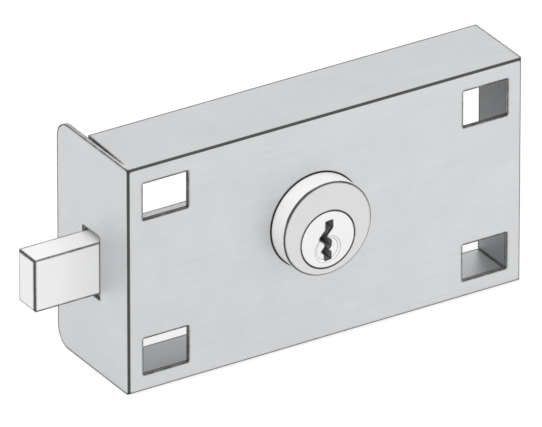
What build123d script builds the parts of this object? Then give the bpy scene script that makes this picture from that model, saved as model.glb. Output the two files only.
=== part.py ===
from build123d import *
import math
import os

# Mailbox lock with a folded steel case, a sliding bolt and a pin tumbler cylinder.
# The key's half turn drives the bolt through a pinion on the plug and a rack cut in the bolt.
# Millimetres. X runs along the case away from the bolt's end, Y runs in behind the front plate, Z is up.
# The origin is the centre of the cylinder's nose on the front plate's outer face.

# Case
case_length = 93.2
case_height = 50.8
case_depth = 17.4
low_wall_depth = 15.0
flange_depth = 27.2
flange_corner_radius = 4.0
sheet = 0.8
outer_bend = 0.8
inner_bend = 0.3
wall_splay = 0.6
corner_gap = 0.2
nose_from_flange = 43.95
stud_hole_width = 10.6
stud_hole_height = 8.1
stud_edge_x = 3.5
stud_edge_z = 3.85

# Cylinder shell and its clip
nose_rim = 0.8
nose_length = 4.87
nose_edge = 0.2
shell_diameter = 19.05
shell_flat_depth = 1.5
shell_end_wall = 0.5
plate_hole_clearance = 0.1
clip_thickness = 1.5
clip_slot_depth = 1.0
clip_border = 2.4

# Plug
plug_drop = 2.4
lip_width = 0.63
lip_length = 1.6
plug_diameter = 11.4
plug_clearance = 0.03
dimple_diameter = 6.0
dimple_depth = 0.25
dimple_drop = 2.2
tail_diameter = 5.2
tail_flats = 4.2

# Outline of the keyway from the plug's axis, down its left side and up its right side
keyway_left = [
    (-0.50, 4.00), (-0.50, 2.25), (-1.95, 0.62), (-1.90, 0.20), (-0.67, -0.75),
    (-0.50, -1.70), (-1.40, -2.62), (-0.72, -3.28), (-0.60, -4.84),
]
keyway_right = [
    (0.91, -4.69), (0.91, -3.16), (0.23, -2.48), (0.92, -1.80), (0.99, -0.60),
    (0.00, 0.23), (-0.28, 0.87), (1.14, 2.41), (1.14, 4.13),
]

# Pin stacks
pin_diameter = 2.1
pin_clearance = 0.05
pin_spacing = 2.4
cover_front = 0.35
key_pin_tips = [1.3, 0.4, 1.8, 0.8]
key_pin_floor = -0.9
pin_tip_diameter = 0.9
pin_tip_length = 0.6
driver_length = 2.0
spring_wire = 0.24
spring_diameter = 1.86
spring_turns = 4.0
spring_sides = 5
spring_steps = 8
cover_width = 4.4
cover_thickness = 0.8
cover_lip = 0.7
cover_sink = 0.85

# Pinion and rack
gear_module = 0.8
pinion_teeth = 12
profile_shift = 0.3
pressure_angle = 20.0
root_depth = 1.25
backlash = 0.12
pinion_width = 4.2
thrust_washer_diameter = 13.0
thrust_washer_thickness = 0.5
rotor_gap = 0.04
pinion_washer_diameter = 8.0
pinion_washer_thickness = 0.6
screw_diameter = 2.5
screw_length = 4.2
screw_head_diameter = 4.6
screw_head_height = 1.4
screw_slot_width = 0.7
screw_slot_depth = 0.7
screw_head_edge = 0.35

# Bolt
bolt_height = 11.6
bolt_thickness = 6.2
rack_inset = 0.3
bolt_drop = 1.45
bolt_proud = 0.07
bolt_edge = 0.3
slot_room_above = 1.2
slot_room_below = 1.35
pinion_room = 0.25
rail_web = 4.1
tail_room = 1.2
tail_height = 8.4
tail_thickness = 3.2
tail_corner_radius = 2.0
slot_wall = 2.4
tail_end_wall = 3.0
tooth_land = 0.3
teeth_past_axis = 2

# Bolt guide
slide_clearance = 0.06
guide_sheet = 1.0
guide_border_z = 4.6
guide_border_y = 2.9
guide_corner_radius = 1.5
guide_tab_length = 5.0
guide_bend = 0.6
stop_gap = 0.05

# Guide post, its washer and its clip
post_foot_diameter = 7.6
post_foot_height = 0.8
post_diameter = 6.0
post_neck_diameter = 3.5
post_slot_room = 0.15
post_groove_diameter = 2.6
post_tip_length = 0.8
guide_washer_diameter = 7.2
guide_washer_thickness = 0.6
guide_washer_room = 0.1
guide_clip_diameter = 6.6
guide_clip_rim = 1.0
guide_clip_prong = 1.2
guide_clip_thickness = 0.6
guide_clip_opening = 2.2

# Places that follow from the sizes above
flange_x = -nose_from_flange
flange_inner_x = flange_x + sheet
end_x = flange_x + case_length
axis_z = -plug_drop
top_z = axis_z + case_height / 2
bottom_z = axis_z - case_height / 2
bolt_z = axis_z - bolt_drop
bolt_top_z = bolt_z + bolt_height / 2
bolt_bottom_z = bolt_z - bolt_height / 2

nose_diameter = shell_diameter + 2 * nose_rim
shell_flats = shell_diameter - 2 * shell_flat_depth
clip_back = sheet + clip_thickness
clip_slot_x = shell_flats / 2 - clip_slot_depth
plug_radius = plug_diameter / 2
bore_radius = plug_radius + plug_clearance
lip_diameter = plug_diameter + 2 * lip_width
pin_radius = pin_diameter / 2
chamber_radius = pin_radius + pin_clearance
pin_depths = [cover_front + chamber_radius + pin_spacing * i for i in range(len(key_pin_tips))]
keyway_back = pin_depths[-1] + chamber_radius
shell_back = keyway_back + shell_end_wall
driver_foot_z = axis_z + bore_radius
spring_foot_z = driver_foot_z + driver_length
cover_z = shell_diameter / 2 - cover_sink - cover_thickness
spring_length = cover_z - spring_foot_z
key_pin_top_z = axis_z + math.sqrt(plug_radius**2 - pin_radius**2)

thrust_front = shell_back + rotor_gap
pinion_front = thrust_front + thrust_washer_thickness
pinion_back = pinion_front + pinion_width
washer_back = pinion_back + pinion_washer_thickness
bolt_front = pinion_front + rack_inset
bolt_back = bolt_front + bolt_thickness
bolt_middle_y = (bolt_front + bolt_back) / 2
tail_back = bolt_front + tail_thickness

pitch_radius = gear_module * pinion_teeth / 2
tooth_pitch = math.pi * gear_module
tip_radius = pitch_radius + gear_module * (1 + profile_shift)
root_radius = pitch_radius - gear_module * (root_depth - profile_shift)
base_radius = pitch_radius * math.cos(math.radians(pressure_angle))
flank_slope = math.tan(math.radians(pressure_angle))
throw = math.pi * pitch_radius
bolt_tip_x = flange_x - throw - bolt_proud

rack_line_z = axis_z - pitch_radius - gear_module * profile_shift
rack_tip_z = rack_line_z + gear_module
rack_root_z = rack_line_z - gear_module * root_depth
rail_bottom_z = rack_root_z - rail_web
half_tip = tooth_pitch / 4 - gear_module * flank_slope - backlash / 2
half_root = tooth_pitch / 4 + gear_module * root_depth * flank_slope - backlash / 2
sweep_radius = tip_radius + pinion_room
neck_rise = bolt_top_z - axis_z
neck_end_x = -throw - math.sqrt(max(sweep_radius**2 - neck_rise**2, 0))
first_tooth = math.ceil((neck_end_x + tooth_land + half_root) / tooth_pitch)

guide_face_x = flange_inner_x + guide_sheet
guide_end_x = guide_face_x + guide_tab_length
shoulder_x = guide_end_x + stop_gap
post_slot_radius = post_neck_diameter / 2 + slide_clearance
tail_x = tip_radius + tail_room
post_x = tail_x + slot_wall + post_neck_diameter / 2 + post_slot_room + throw
tail_end_x = post_x + post_neck_diameter / 2 + post_slot_room + tail_end_wall
post_z = rail_bottom_z + tail_height / 2
guide_washer_front = tail_back + slide_clearance
guide_clip_front = guide_washer_front + guide_washer_thickness
groove_back = guide_clip_front + guide_clip_thickness


def slab(profile, front, back):
    """Thickens a profile drawn in X and Z from one depth to another."""
    return extrude(Plane.XZ.offset(-front) * profile, -(back - front))


def disc(diameter, front, back, x=0.0, z=0.0):
    """A round plate or bar that lies along Y."""
    return slab(Pos(x, z) * Circle(diameter / 2), front, back)


def block(x, y, z):
    """A box between pairs of limits."""
    size = [high - low for low, high in (x, y, z)]
    middle = [(high + low) / 2 for low, high in (x, y, z)]
    return Pos(*middle) * Box(*size)


def flatted(diameter, flats):
    """A circle with two flats that face left and right."""
    return Circle(diameter / 2) & Rectangle(flats, diameter)


def upright(diameter, foot, height, y):
    """A round bar that stands on the cylinder's line of pins."""
    stand = (Align.CENTER, Align.CENTER, Align.MIN)
    return Pos(0, y, foot) * Cylinder(diameter / 2, height, align=stand)


def wall_slit(low):
    """The tapered slit between the flange and a side wall."""
    corner = (flange_inner_x, sheet + inner_bend)
    back = (flange_inner_x, case_depth)
    splayed = (flange_inner_x + wall_splay, case_depth)
    return Pos(0, 0, low) * extrude(make_face(Polyline(corner, back, splayed, close=True)), sheet)


def case():
    """The folded tray with its end flange, stud holes, cylinder hole and bolt slot.

    The top wall is the deepest. The bottom wall and the end wall stop short of it.
    """
    outer = block((flange_x, end_x), (0, case_depth), (bottom_z, top_z))
    outer = fillet(outer.faces().sort_by(Axis.Y)[0].edges(), outer_bend)
    inside_z = (bottom_z + sheet, top_z - sheet)
    cavity = block((flange_inner_x, end_x - sheet), (sheet, case_depth), inside_z)
    cavity = fillet(cavity.faces().sort_by(Axis.Y)[0].edges(), inner_bend)
    tray = outer - cavity
    tray -= block((flange_inner_x, end_x), (low_wall_depth, case_depth), (bottom_z, top_z - sheet))

    flange = block((flange_x, flange_inner_x), (case_depth, flange_depth), (bottom_z, top_z))
    rear_edges = flange.edges().filter_by(Axis.X).group_by(Axis.Y)[-1]
    tray += fillet(rear_edges, flange_corner_radius)

    for low in (bottom_z, top_z - sheet):
        tray -= wall_slit(low)
    for low in (bottom_z + sheet, top_z - sheet - corner_gap):
        tray -= block((end_x - sheet, end_x), (sheet + inner_bend, case_depth), (low, low + corner_gap))

    stud_x = (case_length - stud_hole_width) / 2 - stud_edge_x
    stud_z = (case_height - stud_hole_height) / 2 - stud_edge_z
    for x in (-1, 1):
        for z in (-1, 1):
            spot = Pos(flange_x + case_length / 2 + x * stud_x, axis_z + z * stud_z)
            tray -= slab(spot * Rectangle(stud_hole_width, stud_hole_height), 0, sheet)

    hole = flatted(shell_diameter + 2 * plate_hole_clearance, shell_flats + 2 * plate_hole_clearance)
    tray -= slab(hole, 0, sheet)
    slot_y = (bolt_front - slide_clearance, bolt_back + slide_clearance)
    slot_z = (bolt_bottom_z - slot_room_below, bolt_top_z + slot_room_above)
    return tray - block((flange_x, flange_inner_x), slot_y, slot_z)


def rack():
    """The rail's outline, with its teeth worked out from the gear's sizes."""
    points = [(shoulder_x, rail_bottom_z), (shoulder_x, rack_root_z)]
    for tooth in range(first_tooth, teeth_past_axis + 1):
        x = tooth * tooth_pitch
        points += [(x - half_root, rack_root_z), (x - half_tip, rack_tip_z)]
        if tooth < teeth_past_axis:
            points += [(x + half_tip, rack_tip_z), (x + half_root, rack_root_z)]
    points += [(tail_x, rack_tip_z), (tail_x, rail_bottom_z)]
    return make_face(Polyline(*points, close=True))


def bolt():
    """The bolt's head, its toothed rail and its thinner slotted tail."""
    head = block((bolt_tip_x, neck_end_x), (bolt_front, bolt_back), (bolt_bottom_z, bolt_top_z))
    head = chamfer(head.faces().sort_by(Axis.X)[0].edges(), bolt_edge)
    head -= disc(2 * sweep_radius, bolt_front, bolt_back, -throw, axis_z)
    head += slab(rack(), bolt_front, bolt_back)

    tail_middle = Pos((tail_x + tail_end_x) / 2, post_z)
    tail = slab(tail_middle * Rectangle(tail_end_x - tail_x, tail_height), bolt_front, tail_back)
    end_edges = tail.edges().filter_by(Axis.Y).group_by(Axis.X)[-1]
    tail = fillet(end_edges, tail_corner_radius)

    left = post_x - throw - post_slot_room - post_neck_diameter / 2
    right = post_x + post_slot_room + post_neck_diameter / 2
    slot = SlotOverall(right - left, 2 * post_slot_radius)
    return head + tail - slab(Pos((left + right) / 2, post_z) * slot, bolt_front, tail_back)


def guide_tab():
    """The guide's upper tab, bent out of its plate to lie over the bolt."""
    near = bolt_top_z + slide_clearance
    centre = (flange_inner_x + guide_bend + guide_sheet, near + guide_bend + guide_sheet)
    outside = CenterArc(centre, guide_bend + guide_sheet, 180, 90)
    inside = CenterArc(centre, guide_bend, 180, 90)
    strip = Polyline(outside @ 1, (guide_end_x, near), (guide_end_x, near + guide_sheet), inside @ 1)
    face = make_face(outside + strip + inside + Line(inside @ 0, outside @ 0))
    return slab(face, bolt_front - slide_clearance, bolt_back + slide_clearance)


def bolt_guide():
    """The lanced plate on the flange's inner face, with a tab above and below the bolt."""
    window_y = bolt_thickness + 2 * slide_clearance
    window_z = bolt_height + 2 * (slide_clearance + guide_bend + guide_sheet)
    plate_y = window_y + 2 * guide_border_y
    plate_z = window_z + 2 * guide_border_z
    plate = RectangleRounded(plate_y, plate_z, guide_corner_radius) - Rectangle(window_y, window_z)
    guide = extrude(Plane.YZ.offset(flange_inner_x) * (Pos(bolt_middle_y, bolt_z) * plate), guide_sheet)
    tab = guide_tab()
    return guide + tab + mirror(tab, about=Plane.XY.offset(bolt_z))


def guide_post():
    """The shouldered stud that carries the bolt's tail, with a groove for its clip."""
    shoulder_y = bolt_front - slide_clearance
    tip_y = groove_back + post_tip_length
    post = disc(post_foot_diameter, sheet, sheet + post_foot_height, post_x, post_z)
    post += disc(post_diameter, sheet, shoulder_y, post_x, post_z)
    post += disc(post_neck_diameter, shoulder_y, tip_y, post_x, post_z)
    ring = disc(post_neck_diameter, guide_clip_front, groove_back, post_x, post_z)
    ring -= disc(post_groove_diameter, guide_clip_front, groove_back, post_x, post_z)
    return post - ring


def guide_washer():
    """The washer behind the bolt's tail."""
    front, back = guide_washer_front, guide_clip_front
    hole = post_neck_diameter + 2 * guide_washer_room
    return disc(guide_washer_diameter, front, back, post_x, post_z) - disc(hole, front, back, post_x, post_z)


def guide_clip():
    """The open retaining ring in the post's groove, with three prongs that reach its core."""
    outer = guide_clip_diameter / 2
    inner = outer - guide_clip_rim
    ring = Circle(outer) - Circle(inner)
    prong = Pos(0, outer / 2) * Rectangle(guide_clip_prong, outer - guide_clip_rim / 2)
    ring += PolarLocations(0, 4) * prong
    opening = Pos(0, -outer) * Rectangle(guide_clip_opening, 2 * outer)
    ring -= opening + Circle(post_groove_diameter / 2)
    return slab(Pos(post_x, post_z) * ring, guide_clip_front, groove_back)


def cover_cut(width, low, high):
    """A groove along the shell's top, open at its rear."""
    return block((-width / 2, width / 2), (cover_front, shell_back), (low, high))


def cylinder_shell():
    """The cylinder's body with its nose, bore, pin chambers and grooves."""
    nose = disc(nose_diameter, -nose_length, 0)
    nose = chamfer(nose.faces().sort_by(Axis.Y)[0].edges(), nose_edge)
    shell = nose + slab(flatted(shell_diameter, shell_flats), 0, shell_back)
    shell -= disc(2 * bore_radius, -nose_length, shell_back, 0, axis_z)
    lip_seat = lip_length - nose_length + plug_clearance
    shell -= disc(lip_diameter + 2 * plug_clearance, -nose_length, lip_seat, 0, axis_z)
    top = shell_diameter / 2
    for y in pin_depths:
        shell -= upright(2 * chamber_radius, axis_z, top - axis_z, y)
    shell -= cover_cut(cover_width, cover_z, cover_z + cover_thickness)
    shell -= cover_cut(cover_width - 2 * cover_lip, cover_z, top)
    for side in (-1, 1):
        slot = sorted((side * clip_slot_x, side * shell_diameter / 2))
        shell -= block(slot, (sheet, clip_back), (-top, top))
    return shell


def cylinder_clip():
    """The horseshoe clip that slides over the shell's two slots behind the front plate."""
    outer = shell_diameter / 2 + clip_border
    inner = shell_diameter / 2 + plate_hole_clearance
    shoe = Circle(outer) - (Circle(inner) & Rectangle(2 * clip_slot_x, 2 * outer))
    shoe -= Pos(0, outer / 2) * Rectangle(2 * clip_slot_x, outer)
    shoe -= Pos(0, outer) * Rectangle(2 * outer, outer)
    return slab(shoe, sheet, clip_back)


def plug():
    """The plug with its lip, keyway, pin chambers, flatted tail and screw hole."""
    front = -nose_length
    core = disc(lip_diameter, front, front + lip_length, 0, axis_z)
    core += disc(plug_diameter, front, thrust_front, 0, axis_z)
    core += slab(Pos(0, axis_z) * flatted(tail_diameter, tail_flats), thrust_front, pinion_back)
    dimple = Cone(dimple_diameter / 2, dimple_diameter / 2 - 2 * dimple_depth, dimple_depth)
    core -= Pos(0, front + dimple_depth / 2, axis_z - dimple_drop) * Rot(-90, 0, 0) * dimple
    for y in pin_depths:
        core -= upright(2 * chamber_radius, axis_z + key_pin_floor, plug_radius - key_pin_floor, y)
    keyway = make_face(Polyline(*keyway_left, *keyway_right, close=True))
    core -= slab(Pos(0, axis_z) * keyway, front, keyway_back)
    return core - disc(screw_diameter, pinion_back - screw_length, pinion_back, 0, axis_z)


def key_pin(index):
    """A pin that stands in the plug, from its key cut to the shear line."""
    tip_z = axis_z + key_pin_tips[index]
    foot_z = tip_z + pin_tip_length
    stand = (Align.CENTER, Align.CENTER, Align.MIN)
    point = Cone(pin_tip_diameter / 2, pin_radius, pin_tip_length, align=stand)
    shank = upright(pin_diameter, foot_z, key_pin_top_z - foot_z, pin_depths[index])
    return shank + Pos(0, pin_depths[index], tip_z) * point


def driver_pin(index):
    """A pin that stands in the shell, on the shear line."""
    return upright(pin_diameter, driver_foot_z, driver_length, pin_depths[index])


def driver_spring(index):
    """The wire spring between a driver pin and the chamber cover."""
    radius = (spring_diameter - spring_wire) / 2
    rise = spring_length - spring_wire
    steps = round(spring_turns * spring_steps)
    points = [Vector(radius, 0, rise * i / steps).rotate(Axis.Z, 360 * spring_turns * i / steps)
              for i in range(steps + 1)]
    wire_path = Polyline(*points)
    start = Plane(origin=wire_path @ 0, z_dir=wire_path % 0)
    section = start * RegularPolygon(spring_wire / 2, spring_sides)
    coil = sweep(section, path=wire_path, transition=Transition.RIGHT)
    return Pos(0, pin_depths[index], spring_foot_z + spring_wire / 2) * coil


def chamber_cover():
    """The strip that closes the four chambers from above."""
    return cover_cut(cover_width, cover_z, cover_z + cover_thickness)


def thrust_washer():
    """The washer that the pinion turns against at the shell's rear."""
    ring = disc(thrust_washer_diameter, thrust_front, pinion_front, 0, axis_z)
    return ring - disc(tail_diameter + 2 * plug_clearance, thrust_front, pinion_front, 0, axis_z)


def involute(angle):
    """How far an involute has turned from its base circle where its pressure angle is this."""
    return math.tan(angle) - angle


def flank_point(radius, side, tooth_angle):
    """A point of one tooth flank on the circle of a radius."""
    half_thickness = math.pi / (2 * pinion_teeth) + 2 * profile_shift * flank_slope / pinion_teeth
    here = involute(math.acos(min(base_radius / radius, 1)))
    turn = half_thickness + involute(math.radians(pressure_angle)) - here
    return Vector(radius, 0).rotate(Axis.Z, math.degrees(tooth_angle + side * turn))


def pinion_tooth(tooth_angle):
    """One tooth with involute flanks, from inside the root circle to the tip circle."""
    middle_radius = (base_radius + tip_radius) / 2
    rise = [flank_point(r, -1, tooth_angle) for r in (base_radius, middle_radius, tip_radius)]
    fall = [flank_point(r, 1, tooth_angle) for r in (tip_radius, middle_radius, base_radius)]
    crest = Vector(tip_radius, 0).rotate(Axis.Z, math.degrees(tooth_angle))
    inward = (root_radius - gear_module / 2) / base_radius
    start, end = rise[0] * inward, fall[-1] * inward
    sides = Line(start, rise[0]) + ThreePointArc(*rise) + ThreePointArc(rise[-1], crest, fall[0])
    sides += ThreePointArc(*fall)
    return make_face(sides + Line(fall[-1], end) + Line(end, start))


def drive_pinion():
    """The pinion, with a tooth space over the rack's middle tooth."""
    wheel = Circle(root_radius)
    for tooth in range(pinion_teeth):
        wheel += pinion_tooth(-math.pi / 2 + (tooth + 0.5) * 2 * math.pi / pinion_teeth)
    wheel -= flatted(tail_diameter + 2 * plug_clearance, tail_flats + 2 * plug_clearance)
    return slab(Pos(0, axis_z) * wheel, pinion_front, pinion_back)


def pinion_washer():
    """The washer that holds the pinion on the plug's tail."""
    ring = disc(pinion_washer_diameter, pinion_back, washer_back, 0, axis_z)
    return ring - disc(screw_diameter + 2 * plug_clearance, pinion_back, washer_back, 0, axis_z)


def pinion_screw():
    """The slotted screw in the plug's tail."""
    head_back = washer_back + screw_head_height
    head = disc(screw_head_diameter, washer_back, head_back, 0, axis_z)
    head = chamfer(head.faces().sort_by(Axis.Y)[-1].edges(), screw_head_edge)
    half = screw_head_diameter / 2
    slot_z = (axis_z - screw_slot_width / 2, axis_z + screw_slot_width / 2)
    head -= block((-half, half), (head_back - screw_slot_depth, head_back), slot_z)
    return head + disc(screw_diameter, pinion_back - screw_length, washer_back, 0, axis_z)


def pieces():
    """Every piece under its node's name."""
    made = {
        "case": case(),
        "bolt": bolt(),
        "bolt_guide": bolt_guide(),
        "guide_post": guide_post(),
        "guide_washer": guide_washer(),
        "guide_clip": guide_clip(),
        "cylinder_shell": cylinder_shell(),
        "cylinder_clip": cylinder_clip(),
        "plug": plug(),
        "chamber_cover": chamber_cover(),
        "thrust_washer": thrust_washer(),
        "drive_pinion": drive_pinion(),
        "pinion_washer": pinion_washer(),
        "pinion_screw": pinion_screw(),
    }
    for index in range(len(key_pin_tips)):
        made[f"key_pin_{index + 1}"] = key_pin(index)
        made[f"driver_pin_{index + 1}"] = driver_pin(index)
        made[f"driver_spring_{index + 1}"] = driver_spring(index)
    return made


os.makedirs("parts", exist_ok=True)
for name, piece in pieces().items():
    export_step(piece, f"parts/{name}.step")
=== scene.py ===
import math
from collections import namedtuple

import bpy
from mathutils import Matrix, Vector


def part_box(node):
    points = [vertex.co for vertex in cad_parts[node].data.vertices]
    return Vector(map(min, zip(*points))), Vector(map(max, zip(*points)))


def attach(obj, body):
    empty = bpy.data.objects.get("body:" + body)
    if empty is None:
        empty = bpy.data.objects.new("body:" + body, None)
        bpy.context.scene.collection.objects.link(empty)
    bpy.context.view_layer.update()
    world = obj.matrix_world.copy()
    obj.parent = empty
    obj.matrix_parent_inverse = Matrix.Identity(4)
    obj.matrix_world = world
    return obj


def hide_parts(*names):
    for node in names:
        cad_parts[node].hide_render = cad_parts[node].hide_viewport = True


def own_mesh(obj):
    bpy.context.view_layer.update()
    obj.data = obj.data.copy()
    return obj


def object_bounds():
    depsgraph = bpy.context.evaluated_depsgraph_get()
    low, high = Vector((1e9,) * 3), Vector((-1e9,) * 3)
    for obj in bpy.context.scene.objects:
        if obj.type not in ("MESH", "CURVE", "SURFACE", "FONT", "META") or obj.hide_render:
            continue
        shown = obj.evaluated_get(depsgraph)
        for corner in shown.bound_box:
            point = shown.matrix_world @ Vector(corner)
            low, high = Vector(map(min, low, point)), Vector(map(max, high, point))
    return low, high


# The looks of a mailbox lock: a zinc plated steel case, a bright bolt, a nickel plated cylinder,
# and the oiled pinion and rack that show at its open back.
# Everything is in metres, and the names that end in _MM are in millimetres.

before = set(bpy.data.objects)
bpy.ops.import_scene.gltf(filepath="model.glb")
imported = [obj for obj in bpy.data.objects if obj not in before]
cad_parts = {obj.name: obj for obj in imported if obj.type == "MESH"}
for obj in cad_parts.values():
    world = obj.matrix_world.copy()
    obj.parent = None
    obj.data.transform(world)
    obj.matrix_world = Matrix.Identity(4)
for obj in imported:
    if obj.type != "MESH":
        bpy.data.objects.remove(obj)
cad_low, cad_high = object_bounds()

MM = 0.001

# The picture's frame, and the view that was fitted to the case's corners in it
PICTURE_WIDTH_PX = 542
PICTURE_HEIGHT_PX = 427
PX_PER_MM = 4.9714
VIEW_ELEVATION = math.radians(27.84)
VIEW_HEADING = math.radians(31.86)
VIEW_DISTANCE = 3.3
SENSOR_MM = 36.0
ANCHOR_MM = Vector((2.55, 8.0, -2.4))
ANCHOR_PX = (304.67, 210.80)

# Places that the finishes follow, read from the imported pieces
CASE_LOW_MM, CASE_HIGH_MM = (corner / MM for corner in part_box("case"))
PLUG_LOW_MM, PLUG_HIGH_MM = (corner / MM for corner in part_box("plug"))
POST_LOW_MM, POST_HIGH_MM = (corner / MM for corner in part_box("guide_post"))
GUIDE_LOW_MM, GUIDE_HIGH_MM = (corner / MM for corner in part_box("bolt_guide"))
PINION_LOW_MM, _ = (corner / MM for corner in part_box("drive_pinion"))
BOLT_LOW_MM, _ = (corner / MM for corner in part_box("bolt"))
_, SHELL_HIGH_MM = (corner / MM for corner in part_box("cylinder_shell"))
SHEET_MM = GUIDE_LOW_MM.x - CASE_LOW_MM.x
PLUG_CENTRE_MM = (PLUG_LOW_MM + PLUG_HIGH_MM) / 2
POST_CENTRE_MM = (POST_LOW_MM + POST_HIGH_MM) / 2
NOSE_FACE_MM = PLUG_LOW_MM.y

# Axes along Y, by their X and Z
PLUG_AXIS = (PLUG_CENTRE_MM.x, PLUG_CENTRE_MM.z)
POST_AXIS = (POST_CENTRE_MM.x, POST_CENTRE_MM.z)
NOSE_AXIS = (0.0, 0.0)

# How far the keyway's mouth and walls reach from the plug's axis, and how far before its end they stop
KEYWAY_MOUTH_REACH_MM = 5.2
KEYWAY_WALL_REACH_MM = 4.95
PLUG_TAIL_MM = 5.0

# The pin stacks, and their springs: wire, the gap under the foot, and the turns with one closed at each end
PIN_COUNT = 4
SPRING_WIRE_MM = 0.24
SPRING_GAP_MM = 0.02
SPRING_TURNS = 4
SPRING_STEPS_PER_TURN = 20
SPRING_SIDES = 8

# The middle stretch that a noise's values are spread from, and the rays that look for edges and seams
NOISE_LOW, NOISE_HIGH = 0.3, 0.7
PROBE_RAYS = 8

# The share of a normal along an axis from which a face is taken to look that way
LOOKS_ALONG = 0.5

# A mix node's colour sockets by number, because its sockets for numbers have the same names
MIX_FIRST, MIX_SECOND, MIX_RESULT = 6, 7, 2

# What blotches, grain, scratches, worn edges, and the painted shade and grime in seams do to every metal's
# colour, roughness and relief
MOTTLE_PER_MM = 0.12
# Where a metal has no edge colour of its own, its edges are lightened: partly wear, partly a painted
# highlight
GRAIN_SHADE, SCRATCH_SHADE, EDGE_WEAR_AND_HIGHLIGHT = 0.5, 1.4, 1.25
ROUGHNESS_DRIFT, GRAIN_ROUGHNESS, GRIME_ROUGHNESS = 0.03, 0.04, 0.2
FINE_NOISE_PER_MM, FINE_RELIEF, SCRATCH_RELIEF = 3.0, 0.5, -0.6
RELIEF_MM = 0.002
EASED_EDGE_MM = 0.12

# A stretch of a surface with its own colour and roughness, some of them painted light or shade, and the
# share of the seams' painted shade and grime roughness that it keeps
Patch = namedtuple("Patch", "mask colour roughness grime_kept", defaults=(1.0,))


def new_node(tree, kind, inputs=None, **settings):
    """Adds a node with its settings, and sets or links its inputs."""
    made = tree.nodes.new(kind)
    for name, value in settings.items():
        setattr(made, name, value)
    for key, value in (inputs or {}).items():
        if isinstance(value, bpy.types.NodeSocket):
            tree.links.new(value, made.inputs[key])
        else:
            made.inputs[key].default_value = value
    return made


def calc(tree, operation, a, b=0.0):
    """One step of arithmetic on numbers or sockets."""
    return new_node(tree, "ShaderNodeMath", {0: a, 1: b}, operation=operation).outputs[0]


def product(tree, first, *others):
    """All the values multiplied together."""
    for other in others:
        first = calc(tree, "MULTIPLY", first, other)
    return first


def remap(tree, value, low, high, to_low=0.0, to_high=1.0):
    """Maps a range of a value to another range, clamped."""
    inputs = {"Value": value, "From Min": low, "From Max": high, "To Min": to_low, "To Max": to_high}
    return new_node(tree, "ShaderNodeMapRange", inputs).outputs["Result"]


def blend_colour(tree, share, a, b):
    """Blends two colours by a share from 0 to 1."""
    made = new_node(tree, "ShaderNodeMix", data_type="RGBA")
    factor, first, second = made.inputs["Factor"], made.inputs[MIX_FIRST], made.inputs[MIX_SECOND]
    for socket, value in ((factor, share), (first, a), (second, b)):
        if isinstance(value, bpy.types.NodeSocket):
            tree.links.new(value, socket)
        else:
            socket.default_value = value
    return made.outputs[MIX_RESULT]


def blend_value(tree, share, a, b):
    """Blends two numbers by a share from 0 to 1."""
    inputs = {"Factor": share, "A": a, "B": b}
    return new_node(tree, "ShaderNodeMix", inputs, data_type="FLOAT").outputs["Result"]


def grey(level, warmth=0.0):
    """A near-neutral colour, a little warmer or cooler."""
    return (level * (1 + warmth), level, level * (1 - warmth), 1.0)


def shade(colour, factor):
    """A colour made lighter or darker."""
    return tuple(min(part * factor, 1.0) for part in colour[:3]) + (1.0,)


# Looks that several metals share
DULL_STEEL = grey(0.04)
# Dark dirt for the plug's joint, also used as painted shade in the corner round the nose's foot
JOINT_DIRT_AND_SHADE = grey(0.04, warmth=0.04)
# The colour of the painted shade that darkens seams and corners
SEAM_SHADE_COLOUR = grey(0.03, warmth=0.05)
WORN_EDGE = {"edge_colour": DULL_STEEL, "edge_share": 0.95}


def place_mm(tree):
    """The piece's own X, Y and Z in millimetres."""
    place = new_node(tree, "ShaderNodeTexCoord").outputs["Object"]
    scaled = new_node(tree, "ShaderNodeVectorMath", {0: place, "Scale": 1 / MM}, operation="SCALE")
    return new_node(tree, "ShaderNodeSeparateXYZ", {0: scaled.outputs[0]}).outputs[:]


def facing(tree):
    """The face's own normal, as X, Y and Z."""
    normal = new_node(tree, "ShaderNodeNewGeometry").outputs["True Normal"]
    return new_node(tree, "ShaderNodeSeparateXYZ", {0: normal}).outputs[:]


def noise(tree, parts, waves_per_mm, detail=2.0, roughness=0.5):
    """Noise over three coordinates, with a number of waves to the millimetre along each."""
    scaled = [product(tree, part, waves) for part, waves in zip(parts, waves_per_mm)]
    vector = new_node(tree, "ShaderNodeCombineXYZ", dict(enumerate(scaled))).outputs[0]
    inputs = {"Vector": vector, "Scale": 1.0, "Detail": detail, "Roughness": roughness}
    return new_node(tree, "ShaderNodeTexNoise", inputs).outputs["Fac"]


def radius_from(tree, across, up, centre):
    """How far a point is from a centre in a plane."""
    squares = [calc(tree, "POWER", calc(tree, "SUBTRACT", part, middle), 2.0)
               for part, middle in zip((across, up), centre)]
    return calc(tree, "SQRT", calc(tree, "ADD", *squares))


def rolled_grain(tree):
    """Rolling lines of a folded sheet: along X on its front and walls, along Y on its folded ends."""
    x, y, z = place_mm(tree)
    folded = calc(tree, "GREATER_THAN", calc(tree, "ABSOLUTE", facing(tree)[0]), LOOKS_ALONG)
    along, across = blend_value(tree, folded, x, y), blend_value(tree, folded, y, x)
    return noise(tree, (along, across, z), waves_per_mm=(0.05, 4.0, 4.0), detail=3.0, roughness=0.6)


def drawn_grain(tree):
    """Drag lines along a bar that slides in X."""
    return noise(tree, place_mm(tree), waves_per_mm=(0.12, 7.0, 7.0), detail=3.0, roughness=0.65)


def turned_grain(centre, lines_per_mm=7.0):
    """Lathe lines round a centre in X and Z."""
    def lines_round_centre(tree):
        x, y, z = place_mm(tree)
        radius = radius_from(tree, x, z, centre)
        drift = noise(tree, (x, y, z), waves_per_mm=(0.3, 0.3, 0.3))
        waves_per_mm = (lines_per_mm, lines_per_mm, 1.5)
        return noise(tree, (radius, y, drift), waves_per_mm, detail=3.0, roughness=0.65)
    return lines_round_centre


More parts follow.
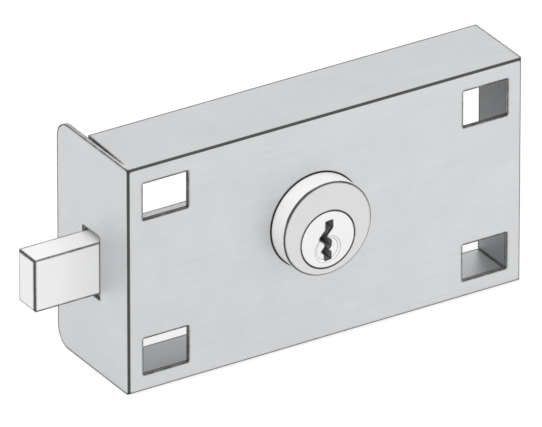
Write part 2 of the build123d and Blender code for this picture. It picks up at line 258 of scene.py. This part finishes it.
def tumbled_grain(tree):
    """The even fine grain of a small part that was tumbled smooth."""
    return noise(tree, place_mm(tree), waves_per_mm=(9.0, 9.0, 9.0), roughness=0.6)


def blotches(tree):
    """Blotches about two millimetres across."""
    return noise(tree, place_mm(tree), waves_per_mm=(0.5, 0.5, 0.5), detail=3.0, roughness=0.6)


def scratches(tree):
    """Sparse fine scratches in two slanting directions."""
    slants = (0.7, -1.6)
    line_range, region_range = (0.70, 0.76), (0.48, 0.62)
    x, y, z = place_mm(tree)
    marks = []
    for slant in slants:
        along = calc(tree, "ADD", x, product(tree, z, slant))
        across = calc(tree, "SUBTRACT", z, product(tree, x, slant))
        lines = noise(tree, (along, across, y), waves_per_mm=(0.06, 5.0, 0.5), detail=1.0)
        region = noise(tree, (x, z, y), waves_per_mm=(0.09, 0.09, 0.09), detail=1.0)
        marks.append(product(tree, remap(tree, lines, *line_range), remap(tree, region, *region_range)))
    return calc(tree, "MAXIMUM", *marks)


def rounded_normal(tree, radius_mm):
    """The surface's normal with its sharp edges eased."""
    inputs = {"Radius": radius_mm * MM}
    return new_node(tree, "ShaderNodeBevel", inputs, samples=PROBE_RAYS).outputs["Normal"]


def edge_mask(tree, radius_mm):
    """1 on edges and 0 on flats, from how far the eased normal leans from the face's own."""
    flat_from, edge_from = 0.991, 0.976
    worn_from, worn_full, least_wear = 0.3, 0.6, 0.75
    flat = new_node(tree, "ShaderNodeNewGeometry").outputs["Normal"]
    inputs = {0: rounded_normal(tree, radius_mm), 1: flat}
    lean = new_node(tree, "ShaderNodeVectorMath", inputs, operation="DOT_PRODUCT").outputs["Value"]
    worn = remap(tree, blotches(tree), worn_from, worn_full, to_low=least_wear)
    return product(tree, remap(tree, lean, flat_from, edge_from), worn)


def slanting(tree):
    """1 where a face leans off all three axes, as on a bend or a chamfer."""
    straight_from, slant_from = 0.97, 0.90
    largest = 0.0
    for part in facing(tree):
        largest = calc(tree, "MAXIMUM", calc(tree, "ABSOLUTE", part), largest)
    return remap(tree, largest, straight_from, slant_from)


def seam_mask(tree, reach_mm):
    """1 deep in seams and corners, 0 in the open, from an occlusion probe; it places the painted shade in
    seams.
    """
    open_from, deep_from = 0.85, 0.45
    inputs = {"Distance": reach_mm * MM}
    open_sky = new_node(tree, "ShaderNodeAmbientOcclusion", inputs, samples=PROBE_RAYS).outputs["AO"]
    return remap(tree, open_sky, open_from, deep_from)


def within(tree, low, high):
    """1 inside a box given by its corners in millimetres, where None leaves a side open."""
    inside = 1.0
    for part, least, most in zip(place_mm(tree), low, high):
        if least is not None:
            inside = product(tree, calc(tree, "GREATER_THAN", part, least), inside)
        if most is not None:
            inside = product(tree, calc(tree, "LESS_THAN", part, most), inside)
    return inside


def in_depth(tree, front, back):
    """1 between two places on Y in millimetres, where None leaves a side open."""
    return within(tree, (None, front, None), (None, back, None))


def metal(name, colour, roughness, grain, grain_share=0.10, mottle_share=0.03, metallic=1.0,
          scratch_share=0.12, edge_colour=None, edge_share=0.5, edge_reach_mm=0.15,
          seam_share=0.7, seam_reach_mm=0.7, patches=()):
    """A metal with blotches, grain, scratches, worn edges, patches, and painted shade with grime roughness
    in its seams and corners.
    """
    made = bpy.data.materials.new(name)
    made.use_nodes = True
    tree = made.node_tree
    tree.nodes.clear()
    place = place_mm(tree)

    mottle = noise(tree, place, (MOTTLE_PER_MM,) * 3, detail=4.0, roughness=0.6)
    cloud = remap(tree, mottle, NOISE_LOW, NOISE_HIGH)
    lines = remap(tree, grain(tree), NOISE_LOW, NOISE_HIGH)
    result = blend_colour(tree, cloud, shade(colour, 1 - mottle_share), shade(colour, 1 + mottle_share))
    rough = remap(tree, cloud, 0.0, 1.0, roughness - ROUGHNESS_DRIFT, roughness + ROUGHNESS_DRIFT)
    seam_dirt_and_shade = product(tree, seam_mask(tree, seam_reach_mm), seam_share)
    for patch in patches:
        cover = patch.mask(tree)
        result = blend_colour(tree, cover, result, patch.colour)
        rough = blend_value(tree, cover, rough, patch.roughness)
        seam_dirt_and_shade = product(tree, seam_dirt_and_shade, remap(tree, cover, 0.0, 1.0, 1.0, patch.grime_kept))

    result = blend_colour(tree, product(tree, lines, grain_share), result, shade(colour, GRAIN_SHADE))
    marks = scratches(tree)
    result = blend_colour(tree, product(tree, marks, scratch_share), result, shade(colour, SCRATCH_SHADE))
    edge = product(tree, edge_mask(tree, edge_reach_mm), edge_share)
    # Edges without an edge colour are lightened, partly as wear and partly as a painted highlight
    result = blend_colour(tree, edge, result, edge_colour or shade(colour, EDGE_WEAR_AND_HIGHLIGHT))
    # Painted shade: seams and corners found by the occlusion probe are darkened towards a near-black brown
    result = blend_colour(tree, seam_dirt_and_shade, result, SEAM_SHADE_COLOUR)

    rough = calc(tree, "ADD", rough, remap(tree, lines, 0.0, 1.0, -GRAIN_ROUGHNESS, GRAIN_ROUGHNESS))
    rough = calc(tree, "ADD", rough, product(tree, seam_dirt_and_shade, GRIME_ROUGHNESS))
    fine = noise(tree, place, (FINE_NOISE_PER_MM,) * 3)
    relief = calc(tree, "ADD", product(tree, fine, FINE_RELIEF), product(tree, marks, SCRATCH_RELIEF))
    bump = new_node(tree, "ShaderNodeBump", {
        "Height": calc(tree, "ADD", lines, relief), "Distance": RELIEF_MM * MM,
        "Normal": rounded_normal(tree, EASED_EDGE_MM)})
    shader = new_node(tree, "ShaderNodeBsdfPrincipled", {
        "Base Color": result, "Roughness": rough, "Metallic": metallic, "Normal": bump.outputs["Normal"]})
    new_node(tree, "ShaderNodeOutputMaterial", {"Surface": shader.outputs["BSDF"]})
    return made


def dress(material, *names):
    """Gives CAD nodes a material."""
    for name in names:
        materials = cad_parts[name].data.materials
        materials.clear()
        materials.append(material)


def case_inside(tree):
    """The tray's inside faces."""
    skin = 0.05
    wall = SHEET_MM - skin
    low = (CASE_LOW_MM.x + wall, wall, CASE_LOW_MM.z + wall)
    high = (CASE_HIGH_MM.x - wall, None, CASE_HIGH_MM.z - wall)
    return within(tree, low, high)


def bottom_wall_inside(tree):
    """The upward face of the tray's bottom wall, painted lighter as a lit face, the lighter colour covering
    more with distance from the bolt.
    """
    least = 0.2
    x, _, _ = place_mm(tree)
    lightened_share = remap(tree, x, CASE_LOW_MM.x, CASE_HIGH_MM.x, to_low=least)
    upward = calc(tree, "GREATER_THAN", facing(tree)[2], LOOKS_ALONG)
    return product(tree, case_inside(tree), upward, lightened_share)


def end_wall_inside(tree):
    """The inside of the tray's end wall, painted in shade, darkest at its top."""
    _, _, z = place_mm(tree)
    end_darkening = remap(tree, z, CASE_LOW_MM.z, CASE_HIGH_MM.z)
    to_bolt = calc(tree, "LESS_THAN", facing(tree)[0], -LOOKS_ALONG)
    return product(tree, case_inside(tree), to_bolt, end_darkening)


def case_folds(tree):
    """The front plate's rounded folds, where the zinc has crazed dull."""
    fold_depth = SHEET_MM * 1.2
    return product(tree, slanting(tree), in_depth(tree, None, fold_depth))


def flange_cut_edge(tree):
    """The sheared edge of the flange, bright along its top, back and bottom."""
    fold_depth = SHEET_MM * 2
    off_plate = calc(tree, "LESS_THAN", calc(tree, "ABSOLUTE", facing(tree)[0]), LOOKS_ALONG)
    sheared = within(tree, (None, fold_depth, None), (CASE_LOW_MM.x + SHEET_MM, None, None))
    return product(tree, off_plate, sheared)


def punched_break(tree):
    """The torn part of the holes' walls in the front plate, behind the smooth part that the punch left."""
    smooth_share, skin, border = 0.35, 0.02, 2.0
    low = (CASE_LOW_MM.x + border, SHEET_MM * smooth_share, CASE_LOW_MM.z + border)
    high = (CASE_HIGH_MM.x - border, SHEET_MM - skin, CASE_HIGH_MM.z - border)
    return within(tree, low, high)


def nose_seat(tree):
    """Painted shade on the front plate in the corner round the nose: a dark ring at the nose's foot."""
    width, fade = 0.26, 0.12
    x, _, z = place_mm(tree)
    edge = SHELL_HIGH_MM.x + width
    near = remap(tree, radius_from(tree, x, z, NOSE_AXIS), edge + fade, edge)
    return product(tree, near, in_depth(tree, None, SHEET_MM / 2))


def weld_ring(tree):
    """Heat colour on the front plate's inside, round the guide post's foot."""
    width, strength = 1.6, 0.7
    x, _, z = place_mm(tree)
    foot = (POST_HIGH_MM.x - POST_LOW_MM.x) / 2
    heat = remap(tree, radius_from(tree, x, z, POST_AXIS), foot, foot + width, strength, 0.0)
    return product(tree, heat, in_depth(tree, SHEET_MM / 2, SHEET_MM * 2))


def spot_welds(tree):
    """The spots that hold the guide's plate, one near each corner."""
    inset, radius, fade, strength = 2.2, 1.0, 0.5, 0.8
    _, y, z = place_mm(tree)
    spots = 0.0
    for spot_y in (GUIDE_LOW_MM.y + inset, GUIDE_HIGH_MM.y - inset):
        for spot_z in (GUIDE_LOW_MM.z + inset, GUIDE_HIGH_MM.z - inset):
            away = radius_from(tree, y, z, (spot_y, spot_z))
            spot = remap(tree, away, radius + fade, radius, 0.0, strength)
            spots = calc(tree, "MAXIMUM", spot, spots)
    return spots


def bolt_tip_rim(tree):
    """The chamfer round the bolt's end, worn by the strike."""
    depth = 0.5
    at_tip = within(tree, (None, None, None), (BOLT_LOW_MM.x + depth, None, None))
    return product(tree, slanting(tree), at_tip)


def nose_rim(tree):
    """The small chamfer round the nose's front, worn through the plating."""
    depth = 0.5
    return product(tree, slanting(tree), in_depth(tree, None, NOSE_FACE_MM + depth))


def nose_foot(tree):
    """Painted shade on the nose's side in the corner at the front plate."""
    width = 0.15
    return in_depth(tree, -width, 0.0)


def nose_front(tree):
    """The flat ring of the cylinder's nose round the plug, where a darker copy of the nickel is painted as
    shade.
    """
    to_front, skin = -0.8, 0.1
    faces_front = calc(tree, "LESS_THAN", facing(tree)[1], to_front)
    return product(tree, faces_front, in_depth(tree, None, NOSE_FACE_MM + skin))


def plug_joint(tree):
    """Dirt in the ring where the plug's lip meets the nose."""
    half_width, fade, skin = 0.10, 0.06, 0.1
    x, _, z = place_mm(tree)
    lip_radius = (PLUG_HIGH_MM.x - PLUG_LOW_MM.x) / 2
    away = calc(tree, "ABSOLUTE", calc(tree, "SUBTRACT", radius_from(tree, x, z, PLUG_AXIS), lip_radius))
    dirt = remap(tree, away, half_width + fade, half_width)
    return product(tree, dirt, in_depth(tree, None, NOSE_FACE_MM + skin))


def oil_near_teeth(tree):
    """Oil that the pinion has spread over the rack."""
    rack_from, rack_to, mesh_depth = -18.5, 8.0, 1.2
    drip, fade_below, fade_above, tooth_gap = 4.0, 1.5, 0.5, 0.6
    middle = (NOISE_LOW + NOISE_HIGH) / 2
    _, _, z = place_mm(tree)
    ragged_z = calc(tree, "ADD", z, product(tree, calc(tree, "SUBTRACT", blotches(tree), middle), drip))
    teeth_foot = PINION_LOW_MM.z - tooth_gap
    spread = remap(tree, ragged_z, teeth_foot - fade_below, teeth_foot + fade_above)
    rack = within(tree, (rack_from, PINION_LOW_MM.y, None), (rack_to, None, PINION_LOW_MM.z + mesh_depth))
    return product(tree, spread, rack)


def keyway_mouth(tree):
    """The keyway's edge, where keys have worn the plating through."""
    skin, depth, off_face = 0.01, 0.45, -0.1
    x, _, z = place_mm(tree)
    near = calc(tree, "LESS_THAN", radius_from(tree, x, z, PLUG_AXIS), KEYWAY_MOUTH_REACH_MM)
    on_wall = calc(tree, "GREATER_THAN", facing(tree)[1], off_face)
    behind_face = in_depth(tree, NOSE_FACE_MM + skin, NOSE_FACE_MM + depth)
    return product(tree, near, on_wall, behind_face)


def keyway_walls(tree):
    """The keyway's walls inside the plug, behind its face, where a darker copy of the nickel is painted as
    shade.
    """
    depth = 0.3
    x, _, z = place_mm(tree)
    near = calc(tree, "LESS_THAN", radius_from(tree, x, z, PLUG_AXIS), KEYWAY_WALL_REACH_MM)
    return product(tree, near, in_depth(tree, NOSE_FACE_MM + depth, PLUG_HIGH_MM.y - PLUG_TAIL_MM))


def spring_mesh(name, low_mm, high_mm):
    """A round wire wound between two corners of a box, with a closed turn at each end."""
    middle = (low_mm + high_mm) / 2
    coil_radius = (high_mm.y - low_mm.y - SPRING_WIRE_MM) / 2
    foot, top = low_mm.z + SPRING_GAP_MM + SPRING_WIRE_MM / 2, high_mm.z - SPRING_WIRE_MM / 2
    pitch = (top - foot - 2 * SPRING_WIRE_MM) / (SPRING_TURNS - 2)
    points, faces = [], []
    for step in range(SPRING_TURNS * SPRING_STEPS_PER_TURN + 1):
        turn = step / SPRING_STEPS_PER_TURN
        closed = min(turn, 1) + max(turn - SPRING_TURNS + 1, 0)
        height = foot + SPRING_WIRE_MM * closed + pitch * (turn - closed)
        outward = Vector((math.cos(math.tau * turn), math.sin(math.tau * turn), 0))
        for side in range(SPRING_SIDES):
            lean = math.tau * side / SPRING_SIDES
            reach = coil_radius + math.cos(lean) * SPRING_WIRE_MM / 2
            rise = height + math.sin(lean) * SPRING_WIRE_MM / 2
            points.append((Vector((middle.x, middle.y, rise)) + outward * reach) * MM)
    for start in range(0, len(points) - SPRING_SIDES, SPRING_SIDES):
        for side in range(SPRING_SIDES):
            following = (side + 1) % SPRING_SIDES
            faces.append((start + side, start + SPRING_SIDES + side,
                          start + SPRING_SIDES + following, start + following))
    faces.append(tuple(range(SPRING_SIDES)))
    faces.append(tuple(reversed(range(len(points) - SPRING_SIDES, len(points)))))
    mesh = bpy.data.meshes.new(name)
    mesh.from_pydata(points, [], faces)
    mesh.shade_smooth()
    return mesh


def make_springs(material):
    """Coils that stand for the driver springs."""
    for number in range(1, PIN_COUNT + 1):
        node, joint = f"driver_spring_{number}", f"driver_pin_{number}_lift"
        low_mm, high_mm = (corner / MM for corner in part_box(node))
        name = f"driver_coil_{number}"
        coil = bpy.data.objects.new(name, spring_mesh(name, low_mm, high_mm))
        bpy.context.scene.collection.objects.link(coil)
        coil.data.materials.append(material)
        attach(coil, "case_body")
        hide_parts(node)
        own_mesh(coil)


def dress_case():
    """The folded sheet, and the guide welded into it."""
    zinc = (0.64, 0.65, 0.66, 1.0)
    guide_zinc = shade(zinc, 0.75)
    shaded_inner_zinc = grey(0.33, warmth=-0.02)
    lit_bottom_zinc = grey(0.58, warmth=-0.02)
    shaded_end_zinc = grey(0.13, warmth=-0.02)
    crazed_zinc = grey(0.06, warmth=-0.01)
    sheared_steel = grey(0.80)
    torn_steel = grey(0.42, warmth=0.01)
    straw = (0.32, 0.26, 0.17, 1.0)

    case_patches = (
        # Painted shade: the tray's inside faces get a darker copy of the zinc
        Patch(case_inside, shaded_inner_zinc, roughness=0.5, grime_kept=0.3),
        # Painted light: the bottom wall's upward inside face gets a lighter copy of the zinc
        Patch(bottom_wall_inside, lit_bottom_zinc, roughness=0.45, grime_kept=0.2),
        # Painted shade: the end wall's inside gets the darkest copy of the zinc
        Patch(end_wall_inside, shaded_end_zinc, roughness=0.5, grime_kept=0.3),
        Patch(case_folds, crazed_zinc, roughness=0.5),
        Patch(flange_cut_edge, sheared_steel, roughness=0.35),
        Patch(punched_break, torn_steel, roughness=0.6, grime_kept=0.5),
        # Painted shade: a dark ring on the plate round the nose's foot
        Patch(nose_seat, JOINT_DIRT_AND_SHADE, roughness=0.7),
        Patch(weld_ring, straw, roughness=0.4),
    )
    dress(metal("zinc_sheet", zinc, roughness=0.45, grain=rolled_grain, edge_reach_mm=0.8,
                patches=case_patches, **WORN_EDGE), "case")
    guide_patches = (Patch(spot_welds, straw, roughness=0.35),)
    dress(metal("guide_zinc", guide_zinc, roughness=0.45, grain=rolled_grain, patches=guide_patches),
          "bolt_guide")


def dress_bolt():
    """The bright bolt, with oil on its rack."""
    bright_steel = grey(0.98)
    dark_oil = grey(0.16, warmth=0.06)
    patches = (
        Patch(bolt_tip_rim, DULL_STEEL, roughness=0.4),
        Patch(oil_near_teeth, dark_oil, roughness=0.18),
    )
    dress(metal("bright_bolt", bright_steel, roughness=0.34, grain=drawn_grain, grain_share=0.04,
                mottle_share=0.01, metallic=0.1, scratch_share=0.2, edge_reach_mm=0.8, seam_share=0.2,
                seam_reach_mm=0.4, patches=patches, **WORN_EDGE), "bolt")


def dress_cylinder():
    """The plated shell and plug, and the brass in and behind them."""
    shell_nickel = grey(0.98)
    shaded_ring_nickel = grey(0.79)
    plug_nickel = grey(0.93)
    keyway_shade_nickel = grey(0.42)
    brass = (0.78, 0.58, 0.27, 1.0)

    shell_patches = (
        # Painted shade: the nose's flat front ring gets a darker copy of the nickel
        Patch(nose_front, shaded_ring_nickel, roughness=0.34),
        Patch(nose_rim, DULL_STEEL, roughness=0.4),
        # Painted shade: a dark band on the nose's side where it meets the plate
        Patch(nose_foot, JOINT_DIRT_AND_SHADE, roughness=0.7),
        Patch(plug_joint, JOINT_DIRT_AND_SHADE, roughness=0.7),
    )
    dress(metal("nickel_shell", shell_nickel, roughness=0.34, grain=turned_grain(NOSE_AXIS),
                grain_share=0.06, mottle_share=0.01, metallic=0.1, edge_reach_mm=0.5,
                patches=shell_patches, **WORN_EDGE), "cylinder_shell")
    plug_patches = (
        # Painted shade: the keyway's walls get a darker copy of the nickel
        Patch(keyway_walls, keyway_shade_nickel, roughness=0.5, grime_kept=0.1),
        Patch(keyway_mouth, DULL_STEEL, roughness=0.5),
        Patch(plug_joint, JOINT_DIRT_AND_SHADE, roughness=0.7),
    )
    dress(metal("nickel_plug", plug_nickel, roughness=0.32, grain=turned_grain(PLUG_AXIS),
                grain_share=0.06, mottle_share=0.01, metallic=0.4, edge_reach_mm=0.5, seam_share=0.9,
                patches=plug_patches, **WORN_EDGE), "plug")
    pins = [f"{kind}_pin_{number}" for kind in ("key", "driver") for number in range(1, PIN_COUNT + 1)]
    dress(metal("pin_brass", brass, roughness=0.28, grain=tumbled_grain, mottle_share=0.06),
          "chamber_cover", "thrust_washer", *pins)


def dress_steel_parts():
    """The post, washers, screw, pinion and clips. Returns the springs' steel."""
    plain_steel = grey(0.56)
    oiled_steel = grey(0.46, warmth=0.02)
    dark_steel = grey(0.24, warmth=0.01)
    # These lines run round a corner of the post's box, so they cross each small end as arcs
    turned = turned_grain((POST_LOW_MM.x, POST_LOW_MM.z), lines_per_mm=4.0)
    dress(metal("turned_steel", plain_steel, roughness=0.30, grain=turned),
          "guide_post", "guide_washer", "pinion_washer", "pinion_screw")
    dress(metal("pinion_steel", oiled_steel, roughness=0.30, grain=tumbled_grain,
                seam_share=0.9, seam_reach_mm=1.0), "drive_pinion")
    spring_steel = metal("spring_steel", dark_steel, roughness=0.34, grain=tumbled_grain)
    dress(spring_steel, "guide_clip", "cylinder_clip")
    return spring_steel


def make_camera():
    """A long-lens camera that frames the lock as the picture does."""
    ahead = Vector((math.cos(VIEW_ELEVATION) * math.sin(VIEW_HEADING),
                    math.cos(VIEW_ELEVATION) * math.cos(VIEW_HEADING), -math.sin(VIEW_ELEVATION)))
    right = ahead.cross(Vector((0, 0, 1))).normalized()
    up = right.cross(ahead)
    across = (PICTURE_WIDTH_PX / 2 - ANCHOR_PX[0]) / PX_PER_MM
    down = (PICTURE_HEIGHT_PX / 2 - ANCHOR_PX[1]) / PX_PER_MM
    aim = (ANCHOR_MM + right * across - up * down) * MM
    data = bpy.data.cameras.new("camera")
    data.sensor_width = SENSOR_MM
    data.lens = SENSOR_MM * VIEW_DISTANCE * PX_PER_MM / (PICTURE_WIDTH_PX * MM)
    data.clip_start, data.clip_end = VIEW_DISTANCE / 10, VIEW_DISTANCE * 4
    camera = bpy.data.objects.new("camera", data)
    bpy.context.scene.collection.objects.link(camera)
    turn = Matrix((right, up, -ahead)).transposed()
    camera.matrix_world = Matrix.Translation(aim - ahead * VIEW_DISTANCE) @ turn.to_4x4()
    bpy.context.scene.camera = camera


def soft_box(name, place, aim, size, power):
    """A square area light."""
    data = bpy.data.lights.new(name, "AREA")
    data.size = size
    data.energy = power
    light = bpy.data.objects.new(name, data)
    bpy.context.scene.collection.objects.link(light)
    light.location = place
    light.rotation_mode = "QUATERNION"
    light.rotation_quaternion = (Vector(aim) - Vector(place)).to_track_quat("-Z", "Y")


def seen_white(tree):
    """1 for what the camera sees straight, in a mirror or through glass, and 0 for scattered light."""
    path = new_node(tree, "ShaderNodeLightPath").outputs
    straight = calc(tree, "MAXIMUM", path["Is Glossy Ray"], path["Is Transmission Ray"])
    return calc(tree, "MAXIMUM", path["Is Camera Ray"], straight)


def make_lights():
    """Two soft boxes, and a pale world that shows as white."""
    scattered, seen = 0.80, 1.0
    centre = (cad_low + cad_high) / 2
    soft_box("key", (-1.5, -1.2, 1.6), centre, size=4.0, power=28.0)
    soft_box("fill", (1.3, -1.2, 1.0), centre, size=2.4, power=8.0)
    world = bpy.data.worlds.new("studio")
    bpy.context.scene.world = world
    world.use_nodes = True
    tree = world.node_tree
    tree.nodes.clear()
    strength = remap(tree, seen_white(tree), 0.0, 1.0, scattered, seen)
    back = new_node(tree, "ShaderNodeBackground", {"Color": grey(1.0), "Strength": strength})
    new_node(tree, "ShaderNodeOutputWorld", {"Surface": back.outputs["Background"]})


def make_floor():
    """A plain white floor that keeps the lock's shadow."""
    reach, gap_mm = 4.0, 0.05
    lightness, scattered, seen = 0.35, 0.2, 0.72
    z = cad_low.z - gap_mm * MM
    corners = [(-reach, -reach, z), (reach, -reach, z), (reach, reach, z), (-reach, reach, z)]
    mesh = bpy.data.meshes.new("floor")
    mesh.from_pydata(corners, [], [tuple(range(len(corners)))])
    floor = bpy.data.objects.new("floor", mesh)
    bpy.context.scene.collection.objects.link(floor)
    made = bpy.data.materials.new("floor_white")
    made.use_nodes = True
    tree = made.node_tree
    tree.nodes.clear()
    diffuse = new_node(tree, "ShaderNodeBsdfDiffuse", {"Color": grey(lightness)})
    strength = remap(tree, seen_white(tree), 0.0, 1.0, scattered, seen)
    glow = new_node(tree, "ShaderNodeEmission", {"Color": grey(1.0), "Strength": strength})
    both = new_node(tree, "ShaderNodeAddShader", {0: diffuse.outputs[0], 1: glow.outputs[0]})
    new_node(tree, "ShaderNodeOutputMaterial", {"Surface": both.outputs[0]})
    mesh.materials.append(made)


make_camera()
make_lights()
make_floor()
dress_case()
dress_bolt()
dress_cylinder()
make_springs(dress_steel_parts())

bpy.context.scene.view_settings.view_transform = "Standard"
